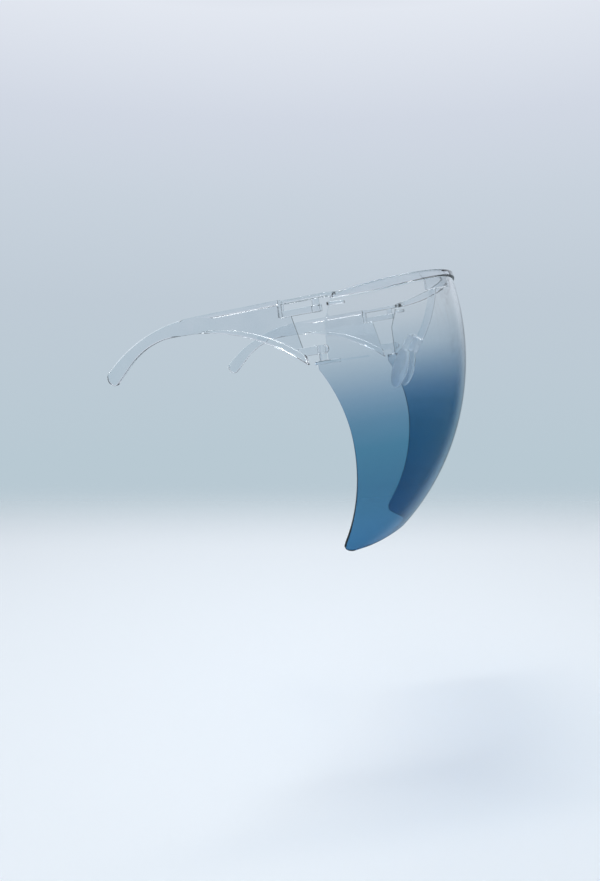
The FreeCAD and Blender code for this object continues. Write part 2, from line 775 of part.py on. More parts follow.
def make_nose_stem():
    stem = new_body("nose_stem")
    bow = new_sketch(stem, "stem_bow", "YZ_Plane")
    draw_loop(
        bow,
        [
            (stem_face_y("1"), "nose_block_level", "stem_radius + stem_depth / 2", 1),
            (stem_end("stem_depth / 2", "y"), stem_end("stem_depth / 2", "z")),
            (
                stem_end("-stem_depth / 2", "y"),
                stem_end("-stem_depth / 2", "z"),
                "stem_radius - stem_depth / 2",
                -1,
            ),
            (stem_face_y("-1"), "nose_block_level"),
        ],
    )
    pad(stem, bow, "stem_width", symmetric=True)
    tongue = new_sketch(stem, "stem_tongue", "YZ_Plane")
    half = "stem_tongue_depth / 2"
    down_y = "stem_tongue_length * sin(saddle_lean)"
    down_z = "stem_tongue_length * cos(saddle_lean)"
    draw_loop(
        tongue,
        [
            (stem_end(half, "y"), stem_end(half, "z")),
            (f"{stem_end(half, 'y')} + {down_y}", f"{stem_end(half, 'z')} - {down_z}"),
            (f"{stem_end('-' + half, 'y')} + {down_y}", f"{stem_end('-' + half, 'z')} - {down_z}"),
            (stem_end("-" + half, "y"), stem_end("-" + half, "z")),
        ],
    )
    pad(stem, tongue, "stem_tongue_width", symmetric=True)
    return stem


def three_point_radius(half_chord, rise):
    return f"((({half_chord})^2 + ({rise})^2) / (2 * ({rise})))"


def make_nose_saddle():
    saddle = new_body("nose_saddle")
    crescent = new_sketch(saddle, "saddle_crescent", "XY_Plane", "-saddle_below_seat")
    outer_half = "(saddle_half_width + saddle_side_wall)"
    outer_radius = three_point_radius(outer_half, "saddle_depth + saddle_wall")
    inner_radius = three_point_radius("saddle_half_width", "saddle_depth")
    draw_loop(
        crescent,
        [
            (f"-{outer_half}", "saddle_depth", outer_radius, 1),
            ("0", "-saddle_wall", outer_radius, 1),
            (outer_half, "saddle_depth"),
            ("saddle_half_width", "saddle_depth", inner_radius, -1),
            ("0", "0", inner_radius, -1),
            ("-saddle_half_width", "saddle_depth"),
        ],
    )
    pad(saddle, crescent, "saddle_above_seat + saddle_below_seat")
    document.recompute()
    slot = new_sketch(saddle, "saddle_slot", "XY_Plane", "saddle_above_seat")
    rear = "(-saddle_wall / 2 + stem_tongue_depth / 2)"
    front = "(-saddle_wall / 2 - stem_tongue_depth / 2)"
    draw_loop(
        slot,
        [
            ("-stem_tongue_width / 2", front),
            ("stem_tongue_width / 2", front),
            ("stem_tongue_width / 2", rear),
            ("-stem_tongue_width / 2", rear),
        ],
    )
    pocket_to_depth(saddle, slot, "stem_tongue_length")
    return saddle


def make_nose_pad(label, side):
    blob = document.addObject("Part::Ellipsoid", f"{label}_blob")
    for prop, formula in (
        ("Radius1", "pad_length / 2"),
        ("Radius2", "pad_thickness / 2"),
        ("Radius3", "pad_width / 2"),
    ):
        bind(blob, prop, formula)
    out = -1 if side == "-" else 1
    reach = "(pad_length / 2 - pad_root_overlap)"
    blob.Placement = FreeCAD.Placement(
        FreeCAD.Vector(), FreeCAD.Rotation(FreeCAD.Vector(0, 1, 0), -out * value("pad_splay"))
    )
    bind(blob, "Placement.Base.x", f"{out} * {reach} * sin(pad_splay)")
    bind(blob, "Placement.Base.z", f"-{reach} * cos(pad_splay)")
    bind(blob, "Placement.Rotation.Angle", f"{-out} * pad_splay")
    above = document.addObject("Part::Box", f"{label}_above")
    for prop, formula in (
        ("Length", "2 * pad_length"),
        ("Width", "2 * pad_length"),
        ("Height", "pad_length"),
    ):
        bind(above, prop, formula)
    above.Placement = FreeCAD.Placement(
        FreeCAD.Vector(), FreeCAD.Rotation(FreeCAD.Vector(1, 0, 0), value("pad_swing"))
    )
    bind(above, "Placement.Base.x", "-pad_length")
    bind(above, "Placement.Base.y", "-pad_length * cos(pad_swing)")
    bind(above, "Placement.Base.z", "-pad_length * sin(pad_swing)")
    bind(above, "Placement.Rotation.Angle", "pad_swing")
    nose_pad = document.addObject("Part::Cut", label)
    nose_pad.Base = blob
    nose_pad.Tool = above
    nose_pad.Label = label
    lean = "(saddle_lean - wear_pitch)"
    nose_pad.Placement = FreeCAD.Placement(
        FreeCAD.Vector(), FreeCAD.Rotation(FreeCAD.Vector(1, 0, 0), value(f"{lean} - pad_swing"))
    )
    bind(nose_pad, "Placement.Base.x", f"{out} * pad_root_side")
    bind(nose_pad, "Placement.Base.y", f"pad_root_rear * cos({lean}) + saddle_below_seat * sin({lean})")
    bind(nose_pad, "Placement.Base.z", f"pad_root_rear * sin({lean}) - saddle_below_seat * cos({lean})")
    bind(nose_pad, "Placement.Rotation.Angle", f"{lean} - pad_swing")
    return nose_pad


worn_pieces = [make_visor_lens(), make_brow_bar(), make_nose_stem()]
nose_pieces = [make_nose_saddle()]
UPPER_EAR_TOP = "(upper_ear_level + upper_ear_thickness)"
for hand, side in (("right", "-"), ("left", "")):
    worn_pieces.append(make_lower_hinge_ear(f"lower_hinge_ear_{hand}", side))
    worn_pieces.append(make_temple(f"temple_{hand}", side))
    worn_pieces.append(make_peg(f"upper_hinge_peg_{hand}", side, UPPER_LUG_TOP, UPPER_EAR_TOP, "1"))
    worn_pieces.append(
        make_peg(f"lower_hinge_peg_{hand}", side, LOWER_LUG_BOTTOM, LOWER_EAR_BOTTOM, "-1")
    )
    nose_pieces.append(make_nose_pad(f"nose_pad_{hand}", side))
for piece in worn_pieces:
    place_in_worn_pose(piece)
place_on_nose(nose_pieces[0])
document.recompute()

for item in document.Objects:
    if "Invalid" in item.State or "Error" in item.State:
        raise RuntimeError(f"{item.Name} did not build: {item.getStatusString()}")

os.makedirs("parts", exist_ok=True)
for piece in worn_pieces + nose_pieces:
    if piece.Shape.isNull() or not piece.Shape.isValid() or len(piece.Shape.Solids) != 1:
        raise RuntimeError(f"{piece.Label} is not one sound solid")
    piece.Shape.exportStep(f"parts/{piece.Label}.step")
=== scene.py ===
import bmesh
import bpy
import json
import math
from mathutils import Matrix, Vector


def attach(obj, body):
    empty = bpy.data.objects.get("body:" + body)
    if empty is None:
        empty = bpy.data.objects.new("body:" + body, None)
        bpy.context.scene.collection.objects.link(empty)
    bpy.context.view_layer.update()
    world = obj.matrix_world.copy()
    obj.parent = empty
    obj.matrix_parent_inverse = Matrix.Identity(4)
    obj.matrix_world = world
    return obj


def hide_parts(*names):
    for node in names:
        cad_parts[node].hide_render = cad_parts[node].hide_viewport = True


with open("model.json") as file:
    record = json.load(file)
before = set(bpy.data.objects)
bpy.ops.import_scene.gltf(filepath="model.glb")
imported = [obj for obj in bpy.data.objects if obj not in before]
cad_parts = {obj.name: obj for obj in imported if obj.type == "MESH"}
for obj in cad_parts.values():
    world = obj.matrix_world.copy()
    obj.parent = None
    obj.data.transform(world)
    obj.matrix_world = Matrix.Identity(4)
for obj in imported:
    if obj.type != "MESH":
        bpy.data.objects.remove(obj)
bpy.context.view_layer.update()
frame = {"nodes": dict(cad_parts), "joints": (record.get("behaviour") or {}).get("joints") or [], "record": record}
nodes = frame["nodes"]
scene = bpy.context.scene
mm = 0.001
print("frame loaded:", len(nodes), "nodes")

# hinge line, the visor's and the temples' own upright

leftFold = next(joint for joint in frame["joints"] if joint["name"] == "fold_left")
hingeX, hingeY, hingeZ = leftFold["pos_m"]
axisY, axisZ = leftFold["axis"][1:]
hingeLean = round(math.degrees(math.atan2(axisY, axisZ)), 3)   # to a thousandth of a degree
hingeTurn = Matrix.Rotation(math.radians(hingeLean), 4, "X").inverted()
fromHinge = Matrix.Translation((0, hingeY, hingeZ)) @ hingeTurn
toHinge = fromHinge.inverted()
bodyOf = {
    node: body
    for body, group in frame["record"]["behaviour"]["bodies"].items()
    for node in group
}

# camera

cameraView = {
    "place": (-0.41057, -0.09406, 0.00273),
    "heading": 22.63,   # degrees from +X towards +Y
    "dip": 9.025,
    "focalPixels": 660,
    "frameHeight": 881,
    "sensor": 36,
    "clip": (0.01, 50),
}


def aimCamera(view):
    heading, dip = math.radians(view["heading"]), math.radians(view["dip"])
    forward = Vector((
        math.cos(heading) * math.cos(dip),
        math.sin(heading) * math.cos(dip),
        -math.sin(dip),
    ))
    data = bpy.data.cameras.new("photoCamera")
    data.sensor_width = view["sensor"]
    data.lens = view["focalPixels"] / view["frameHeight"] * view["sensor"]
    data.clip_start, data.clip_end = view["clip"]
    camera = bpy.data.objects.new("photoCamera", data)
    scene.collection.objects.link(camera)
    camera.location = view["place"]
    camera.rotation_mode = "QUATERNION"
    camera.rotation_quaternion = forward.to_track_quat("-Z", "Y")
    scene.camera = camera


aimCamera(cameraView)
print("camera set")

# shared node helpers


def addNode(tree, kind, values=None, **settings):
    # values fill the node's sockets, settings are its own options
    node = tree.nodes.new(kind)
    for key, setting in settings.items():
        setattr(node, key, setting)
    for socket, value in (values or {}).items():
        node.inputs[socket].default_value = value
    return node


def addRange(tree, before, after=(0, 1), smooth=False):
    limits = {
        "From Min": before[0],
        "From Max": before[1],
        "To Min": after[0],
        "To Max": after[1],
    }
    curve = "SMOOTHSTEP" if smooth else "LINEAR"
    return addNode(tree, "ShaderNodeMapRange", limits, interpolation_type=curve)


def addRamp(tree, stops):
    ramp = addNode(tree, "ShaderNodeValToRGB")
    elements = ramp.color_ramp.elements
    while len(elements) < len(stops):
        elements.new(1)   # moved to its own place below
    for element, (place, colour) in zip(elements, stops):
        element.position = place
        element.color = (*colour, 1)
    return ramp


def startMaterial(name):
    material = bpy.data.materials.new(name)
    material.use_nodes = True
    tree = material.node_tree
    tree.nodes.clear()
    output = addNode(tree, "ShaderNodeOutputMaterial")
    shader = addNode(tree, "ShaderNodeBsdfPrincipled")
    return material, tree, output, shader


# fine unevenness of a moulded and polished surface

polish = {
    "detail": 3,
    "spread": (0.35, 0.7),   # the noise between these covers smoothest to dullest
}


def polishGroup(settings):
    group = bpy.data.node_groups.new("polishWear", "ShaderNodeTree")
    face = group.interface
    face.new_socket("Vector", in_out="INPUT", socket_type="NodeSocketVector")
    for name in ("Scale", "Smoothest", "Dullest"):
        face.new_socket(name, in_out="INPUT", socket_type="NodeSocketFloat")
    for name in ("Roughness", "Height"):
        face.new_socket(name, in_out="OUTPUT", socket_type="NodeSocketFloat")
    inputs = addNode(group, "NodeGroupInput")
    outputs = addNode(group, "NodeGroupOutput")
    cloud = addNode(group, "ShaderNodeTexNoise", {"Detail": settings["detail"]})
    spread = addRange(group, settings["spread"])
    link = group.links.new
    link(inputs.outputs["Vector"], cloud.inputs["Vector"])
    link(inputs.outputs["Scale"], cloud.inputs["Scale"])
    link(cloud.outputs["Fac"], spread.inputs["Value"])
    link(inputs.outputs["Smoothest"], spread.inputs["To Min"])
    link(inputs.outputs["Dullest"], spread.inputs["To Max"])
    link(spread.outputs["Result"], outputs.inputs["Roughness"])
    link(cloud.outputs["Fac"], outputs.inputs["Height"])
    return group


polishWear = polishGroup(polish)


def addPolish(tree, shader, coords, settings):
    wear = addNode(tree, "ShaderNodeGroup", node_tree=polishWear)
    wear.inputs["Scale"].default_value = settings["wearScale"]
    wear.inputs["Smoothest"].default_value = settings["smoothest"]
    wear.inputs["Dullest"].default_value = settings["dullest"]
    bump = addNode(
        tree, "ShaderNodeBump", {"Strength": settings["bump"], "Distance": settings["bumpDepth"]}
    )
    link = tree.links.new
    link(coords.outputs["Object"], wear.inputs["Vector"])
    link(wear.outputs["Roughness"], shader.inputs["Roughness"])
    link(wear.outputs["Height"], bump.inputs["Height"])
    link(bump.outputs["Normal"], shader.inputs["Normal"])
    return wear


def letLightThrough(tree, output, shader, colourSocket):
    # lamps reach what lies behind a clear wall
    path = addNode(tree, "ShaderNodeLightPath")
    clear = addNode(tree, "ShaderNodeBsdfTransparent")
    mix = addNode(tree, "ShaderNodeMixShader")
    link = tree.links.new
    link(colourSocket, clear.inputs["Color"])
    link(path.outputs["Is Shadow Ray"], mix.inputs["Fac"])
    link(shader.outputs["BSDF"], mix.inputs[1])
    link(clear.outputs["BSDF"], mix.inputs[2])
    link(mix.outputs["Shader"], output.inputs["Surface"])


# clear plastic of the frame and silicone of the nose piece

clearMoulding = {
    "name": "clearMoulding",
    "tones": [(0.3, (0.88, 0.92, 0.95)), (0.7, (0.94, 0.965, 0.985))],
    "wearScale": 70,
    "smoothest": 0.015,
    "dullest": 0.05,
    "bump": 0.04,
    "bumpDepth": 0.0004,
    "ior": 1.58,
    "clearness": 1,
}
softSilicone = {
    "name": "softSilicone",
    "tones": [(0.3, (0.86, 0.90, 0.93)), (0.7, (0.95, 0.97, 0.98))],
    "wearScale": 260,
    "smoothest": 0.10,
    "dullest": 0.22,
    "bump": 0.05,
    "bumpDepth": 0.0003,
    "ior": 1.41,
    "clearness": 0.82,
}


def makeMouldedClear(settings):
    # colour and gloss drift a little together
    material, tree, output, shader = startMaterial(settings["name"])
    coords = addNode(tree, "ShaderNodeTexCoord")
    wear = addPolish(tree, shader, coords, settings)
    tone = addRamp(tree, settings["tones"])
    tree.links.new(wear.outputs["Height"], tone.inputs["Fac"])
    tree.links.new(tone.outputs["Color"], shader.inputs["Base Color"])
    shader.inputs["Transmission Weight"].default_value = settings["clearness"]
    shader.inputs["IOR"].default_value = settings["ior"]
    letLightThrough(tree, output, shader, tone.outputs["Color"])
    return material


# tinted visor

visorTint = {
    "height": 0.16,       # the tint runs over this height below the hinge level
    "stops": [
        (0.04, (1.0, 1.0, 1.0)),
        (0.18, (0.82, 0.87, 0.91)),
        (0.34, (0.38, 0.53, 0.67)),
        (0.42, (0.22, 0.41, 0.57)),
        (0.52, (0.13, 0.34, 0.50)),
        (0.90, (0.05, 0.19, 0.37)),
    ],
    "wearScale": 40,
    "smoothest": 0.0,
    "dullest": 0.012,
    "bump": 0.01,
    "bumpDepth": 0.0003,
    "ior": 1.58,
    "clearness": 1,
}


def makeVisorTint(settings):
    material, tree, output, shader = startMaterial("visorTint")
    coords = addNode(tree, "ShaderNodeTexCoord")
    lean = math.radians(hingeLean)
    hingeLevel = hingeY * math.sin(lean) + hingeZ * math.cos(lean)
    upright = addNode(tree, "ShaderNodeMapping", {"Rotation": (lean, 0, 0)}, vector_type="POINT")
    parts = addNode(tree, "ShaderNodeSeparateXYZ")
    depth = addRange(tree, (hingeLevel, hingeLevel - settings["height"]))
    tint = addRamp(tree, settings["stops"])
    link = tree.links.new
    link(coords.outputs["Object"], upright.inputs["Vector"])
    link(upright.outputs["Vector"], parts.inputs["Vector"])
    link(parts.outputs["Z"], depth.inputs["Value"])
    link(depth.outputs["Result"], tint.inputs["Fac"])
    link(tint.outputs["Color"], shader.inputs["Base Color"])
    addPolish(tree, shader, coords, settings)
    shader.inputs["Transmission Weight"].default_value = settings["clearness"]
    shader.inputs["IOR"].default_value = settings["ior"]
    letLightThrough(tree, output, shader, tint.outputs["Color"])
    return material


clearPlastic = makeMouldedClear(clearMoulding)
silicone = makeMouldedClear(softSilicone)
tintedSheet = makeVisorTint(visorTint)
print("plastics made")

# shared mesh helpers


def meshPiece(bm, name, material):
    mesh = bpy.data.meshes.new(name)
    bm.to_mesh(mesh)
    bm.free()
    mesh.shade_smooth()
    mesh.materials.append(material)
    piece = bpy.data.objects.new(name, mesh)
    scene.collection.objects.link(piece)
    return piece


def placePiece(bm, name, material, upright):
    # modelled in millimetres in its own upright, put in place in metres
    bmesh.ops.scale(bm, verts=bm.verts, vec=(mm, mm, mm))
    bmesh.ops.transform(bm, matrix=upright, verts=bm.verts)
    bmesh.ops.recalc_face_normals(bm, faces=bm.faces)
    return meshPiece(bm, name, material)


def bevelEdges(bm, edges, width, segments, clamp):
    bmesh.ops.bevel(
        bm, geom=edges, offset=width, segments=segments, profile=0.5,
        affect="EDGES", material=-1, clamp_overlap=clamp,
    )


def openRims(bm):
    return [edge for edge in bm.edges if edge.is_boundary]


def evenShading(piece):
    piece.modifiers.new("flatten", "WEIGHTED_NORMAL").keep_sharp = True


# soft nose piece

noseLean = 25   # degrees, the nose piece's own upright against the frame's
fromNose = Matrix.Rotation(math.radians(noseLean), 4, "X")

# millimetres and degrees, as in the dictionaries of the other pieces
saddle = {
    "name": "noseBridge",
    "node": "nose_saddle",
    "inner": {"foot": 0, "centre": 6.944, "sweep": 69.4},
    "outer": {"foot": -5, "centre": 4.013, "sweep": 87},
    "top": 2.5,
    "bottom": -6.5,
    "steps": 12,
    "weld": 0.001,
    "sharpAngle": 50,
    "rounding": 0.7,
    "roundingSteps": 3,
    "smoothing": 1,
}


def spinWall(bm, wall, settings):
    start = [bm.verts.new((0, wall["foot"], z)) for z in (settings["bottom"], settings["top"])]
    edge = bm.edges.new(start)
    sweep = math.radians(wall["sweep"])
    pivot = (0, wall["centre"], 0)
    bmesh.ops.rotate(bm, verts=start, cent=pivot, matrix=Matrix.Rotation(-sweep, 3, "Z"))
    bmesh.ops.spin(
        bm, geom=[*start, edge], cent=pivot, axis=(0, 0, 1),
        angle=2 * sweep, steps=2 * settings["steps"],
    )


def makeSaddle(settings):
    bm = bmesh.new()
    for wall in ("inner", "outer"):
        spinWall(bm, settings[wall], settings)
    bmesh.ops.remove_doubles(bm, verts=bm.verts, dist=settings["weld"])
    bmesh.ops.bridge_loops(bm, edges=openRims(bm))
    bmesh.ops.recalc_face_normals(bm, faces=bm.faces)
    limit = math.radians(settings["sharpAngle"])
    sharp = [edge for edge in bm.edges if edge.calc_face_angle(0) > limit]
    bevelEdges(bm, sharp, settings["rounding"], settings["roundingSteps"], True)
    piece = placePiece(bm, settings["name"], silicone, fromNose)
    rounded = piece.modifiers.new("round", "SUBSURF")
    rounded.levels = rounded.render_levels = settings["smoothing"]
    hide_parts(settings["node"])
    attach(piece, "front")


noseLeaf = {
    "root": (7.2, 1.4, -6.5),
    "half": (1.6, 4.9, 13.2),
    "reach": 11.6,
    "splay": 11,
    "swing": 14,
    "segments": 28,
    "rings": 18,
    "top": -6.5,
}


def makeLeaf(side, name, node, settings):
    bm = bmesh.new()
    bmesh.ops.create_uvsphere(
        bm, u_segments=settings["segments"], v_segments=settings["rings"], radius=1
    )
    bmesh.ops.scale(bm, verts=bm.verts, vec=settings["half"])
    splay = Matrix.Rotation(-math.radians(settings["splay"]), 4, "Y")
    turn = Matrix.Rotation(-math.radians(settings["swing"]), 4, "X") @ splay
    down = turn @ Vector((0, 0, -1))
    place = Vector(settings["root"]) + down * settings["reach"]
    bmesh.ops.transform(bm, matrix=Matrix.Translation(place) @ turn, verts=bm.verts)
    bmesh.ops.bisect_plane(
        bm, geom=[*bm.verts, *bm.edges, *bm.faces], clear_outer=True,
        plane_co=(0, 0, settings["top"]), plane_no=(0, 0, 1),
    )
    bmesh.ops.contextual_create(bm, geom=openRims(bm))
    bmesh.ops.scale(bm, verts=bm.verts, vec=(side, 1, 1))
    piece = placePiece(bm, name, silicone, fromNose)
    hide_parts(node)
    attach(piece, "front")


makeSaddle(saddle)
makeLeaf(1, "noseLeafLeft", "nose_pad_left", noseLeaf)
makeLeaf(-1, "noseLeafRight", "nose_pad_right", noseLeaf)
print("soft nose piece made")

# moulded pieces with their edges eased

# edges longer than least, between two places behind the hinge line, get this width
easedPieces = {
    "temple_right": [
        {"least": 0.3, "from": 84.5, "to": 200, "width": 0.75, "segments": 4},
        {"least": 0.3, "from": 21.3, "to": 70, "width": 0.6, "segments": 4},
        {"least": 1.5, "from": -10, "to": 21.5, "width": 0.3, "segments": 3},
    ],
    "brow_bar": [
        {"least": 0.05, "from": -100, "to": -7.5, "width": 0.45, "segments": 3},
        {"least": 0.8, "from": -7.6, "to": 100, "width": 0.3, "segments": 3},
    ],
    "nose_stem": [{"least": 0.5, "from": -100, "to": 100, "width": 0.6, "segments": 3}],
    "lower_hinge_ear_right": [{"least": 0.9, "from": -8.5, "to": 100, "width": 0.3, "segments": 3}],
    "upper_hinge_peg_right": [{"least": 0.05, "from": -100, "to": 100, "width": 0.25, "segments": 3}],
}
for node in list(easedPieces):
    if node.endswith("_right"):
        easedPieces[node.replace("_right", "_left")] = easedPieces[node]
for side in ("right", "left"):
    easedPieces["lower_hinge_peg_" + side] = easedPieces["upper_hinge_peg_right"]

mouldedForm = {
    "weld": 2e-6,        # metres
    "flatAngle": 1,      # degrees, flatter edges are taken out
    "easedAngle": 25,    # sharper edges are eased
    "creaseAngle": 32,   # sharper edges keep a crease
}
hingePegs = {"stub": 1.35, "collar": 1.6, "airGap": 0.05}


def easeEdges(bm, rule):
    def behindHinge(edge):
        return [(toHinge @ vert.co).y / mm for vert in edge.verts]

    limit = math.radians(mouldedForm["easedAngle"])
    chosen = [
        edge for edge in bm.edges
        if edge.is_convex and edge.calc_face_angle(0) > limit
        and edge.calc_length() > rule["least"] * mm
        and min(behindHinge(edge)) > rule["from"] and max(behindHinge(edge)) < rule["to"]
    ]
    bevelEdges(bm, chosen, rule["width"] * mm, rule["segments"], False)


def fromHingeAxis(vert):
    place = toHinge @ vert.co / mm
    return math.hypot(abs(place.x) - hingeX / mm, place.y)


def closeHoles(bm):
    bmesh.ops.holes_fill(bm, edges=openRims(bm), sides=0)
    bmesh.ops.recalc_face_normals(bm, faces=bm.faces)


def closePegHoles(bm):
    # a peg fills its hole in the lug or the ear, so no air shows between them
    inside = [
        face for face in bm.faces if max(map(fromHingeAxis, face.verts)) < hingePegs["stub"]
    ]
    bmesh.ops.delete(bm, geom=inside, context="FACES")
    closeHoles(bm)


def trimPeg(bm):
    # only the collar between lug and ear is in sight
    levels = [
        (toHinge @ vert.co).z for vert in bm.verts if fromHingeAxis(vert) > hingePegs["collar"]
    ]
    gap = hingePegs["airGap"] * mm
    for level, facing in ((min(levels) + gap, -1), (max(levels) - gap, 1)):
        bmesh.ops.bisect_plane(
            bm, geom=[*bm.verts, *bm.edges, *bm.faces], clear_outer=True,
            plane_co=fromHinge @ Vector((0, 0, level)),
            plane_no=hingeTurn.to_3x3() @ Vector((0, 0, facing)),
        )
        closeHoles(bm)


def makeEased(node, rules):
    bm = bmesh.new()
    bm.from_mesh(nodes[node].data)
    bmesh.ops.remove_doubles(bm, verts=bm.verts, dist=mouldedForm["weld"])
    if "peg" in node:
        trimPeg(bm)
    else:
        closePegHoles(bm)
    bmesh.ops.dissolve_limit(
        bm, angle_limit=math.radians(mouldedForm["flatAngle"]), verts=bm.verts, edges=bm.edges,
        use_dissolve_boundaries=False, delimit=set(),
    )
    for rule in rules:
        easeEdges(bm, rule)
    first, *rest = node.split("_")
    piece = meshPiece(bm, first + "".join(map(str.title, rest)), clearPlastic)
    piece.data.set_sharp_from_angle(angle=math.radians(mouldedForm["creaseAngle"]))
    evenShading(piece)
    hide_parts(node)
    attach(piece, bodyOf[node])


for node, rules in easedPieces.items():
    makeEased(node, rules)
print("moulded pieces eased")

# visor, one sheet bent across and down

visorLens = {
    "acrossRadius": 73.7,
    "downRadius": 161.4,
    "reach": 62.7,
    "apexDrop": 24.3,
    "thickness": 2,
    "rimRounding": 0.45,
    "rimSteps": 3,
    "rimAngle": 50,
    "columns": 96,
    "browRear": (6.8, 1.2),        # forward of the hinges, level
    "browFront": (65.9, 10),
    "browRadius": 180,
    "browRounds": 12,              # the brow's level settles in this many rounds
    "edgeForward": 1.5,
    "edgeDrop": 12,
    "heelTop": -31.4,
    "heelBack": 4.6,
    "heelHeight": 4.6,
    "cheekForward": 7.6,
    "cheekLevel": -79,
    "cheekRadius": 111.5,
    "bottom": -146,
    "cornerRadius": 3.2,
    "archRise": 3,
    "archHalfWidth": 44,
    "archFoot": 0.2,
    "rows": {"brow": 6, "edge": 8, "heel": 3, "heelBack": 2, "upper": 18, "lower": 26, "corner": 6},
}


def apexAt(level, lens):
    drop = level + lens["apexDrop"]
    return lens["reach"] - lens["downRadius"] + math.sqrt(lens["downRadius"] ** 2 - drop ** 2)


def turnAt(forward, level, lens):
    return math.acos((forward - apexAt(level, lens)) / lens["acrossRadius"] + 1)


def forwardAt(turn, level, lens):
    return apexAt(level, lens) - lens["acrossRadius"] * (1 - math.cos(turn))


def browLevel(forward, lens):
    (rearF, rearZ), (frontF, frontZ) = lens["browRear"], lens["browFront"]
    run, rise = frontF - rearF, frontZ - rearZ
    chord = math.hypot(run, rise)
    lift = math.sqrt(lens["browRadius"] ** 2 - chord ** 2 / 4)
    centreF = (rearF + frontF) / 2 - lift * rise / chord
    centreZ = (rearZ + frontZ) / 2 + lift * run / chord
    return centreZ - math.sqrt(lens["browRadius"] ** 2 - (forward - centreF) ** 2)


def browEdge(turn, lens):
    level = lens["browFront"][1]
    for _ in range(lens["browRounds"]):
        level = browLevel(forwardAt(turn, level, lens), lens)
    return level


def chinLevel(turn, lens):
    # a low arch between two arcs that bend the other way
    half, foot = lens["archHalfWidth"], lens["archFoot"]
    height = lens["archRise"] + foot
    radius = (half ** 2 + height ** 2) / (4 * height)
    across = min(lens["acrossRadius"] * math.sin(turn), half)
    if across < half / 2:
        level = lens["bottom"] + lens["archRise"] - radius + math.sqrt(radius ** 2 - across ** 2)
    else:
        level = lens["bottom"] - foot + radius - math.sqrt(radius ** 2 - (half - across) ** 2)
    return max(level, lens["bottom"])


def evenSteps(start, end, steps):
    # the end itself is left to the next stretch
    return [start + (end - start) * i / steps for i in range(steps)]


def straight(start, end, steps):
    return list(zip(evenSteps(start[0], end[0], steps), evenSteps(start[1], end[1], steps)))


def rearOutline(lens):
    # side outline from the brow's rear end down to the chin corner, as (forward, level)
    rows, edge, back = lens["rows"], lens["edgeForward"], -lens["heelBack"]
    heelTop, cheekLevel, bottom = lens["heelTop"], lens["cheekLevel"], lens["bottom"]
    heelBottom = heelTop - lens["heelHeight"]
    sine = (cheekLevel - bottom) / lens["cheekRadius"]
    cosine = math.sqrt(1 - sine ** 2)
    tip = lens["cheekForward"] - lens["cheekRadius"] * (1 - cosine)
    run = lens["cornerRadius"] * cosine / (1 - sine)
    cheekEnd = (tip + run * sine, bottom + run * cosine)
    rise, span = heelBottom - cheekLevel, lens["cheekForward"] - back
    upperRadius = (rise ** 2 + span ** 2) / (2 * span)

    def cheek(radius, top, low, steps):
        centre = lens["cheekForward"] - radius
        return [
            (centre + math.sqrt(radius ** 2 - (level - cheekLevel) ** 2), level)
            for level in evenSteps(top, low, steps)
        ]

    def corner(steps):
        forward, level = tip + run, bottom + lens["cornerRadius"]
        end = math.radians(-90)
        start = math.atan2(cheekEnd[1] - level, cheekEnd[0] - forward)
        if start > 0:
            start -= 2 * math.pi
        return [
            (forward + lens["cornerRadius"] * math.cos(angle),
             level + lens["cornerRadius"] * math.sin(angle))
            for angle in [*evenSteps(start, end, steps), end]
        ]

    return (
        straight(lens["browRear"], (edge, -lens["edgeDrop"]), rows["brow"])
        + straight((edge, -lens["edgeDrop"]), (edge, heelTop), rows["edge"])
        + straight((edge, heelTop), (back, heelTop), rows["heel"])
        + straight((back, heelTop), (back, heelBottom), rows["heelBack"])
        + cheek(upperRadius, heelBottom, cheekLevel, rows["upper"])
        + cheek(lens["cheekRadius"], cheekLevel, cheekEnd[1], rows["lower"])
        + corner(rows["corner"])
    )


def blendPlace(across, down, sides):
    # a patch between four edges, each a function giving (turn, level)
    middle, rear, brow, chin = sides

    def corners(i):
        return (
            (1 - across) * (1 - down) * brow(0)[i] + across * (1 - down) * brow(1)[i]
            + (1 - across) * down * chin(0)[i] + across * down * chin(1)[i]
        )

    return [
        (1 - across) * middle(down)[i] + across * rear(down)[i]
        + (1 - down) * brow(across)[i] + down * chin(across)[i] - corners(i)
        for i in (0, 1)
    ]


def visorSides(outline, shares, lens):
    rearPlaces = [(turnAt(forward, level, lens), level) for forward, level in outline]
    browTurn, chinTurn = rearPlaces[0][0], rearPlaces[-1][0]
    browMiddle, chinMiddle = browEdge(0, lens), chinLevel(0, lens)
    return (
        lambda down: (0, browMiddle + (chinMiddle - browMiddle) * down),
        dict(zip(shares, rearPlaces)).get,
        lambda across: (across * browTurn, browEdge(across * browTurn, lens)),
        lambda across: (across * chinTurn, chinLevel(across * chinTurn, lens)),
    )


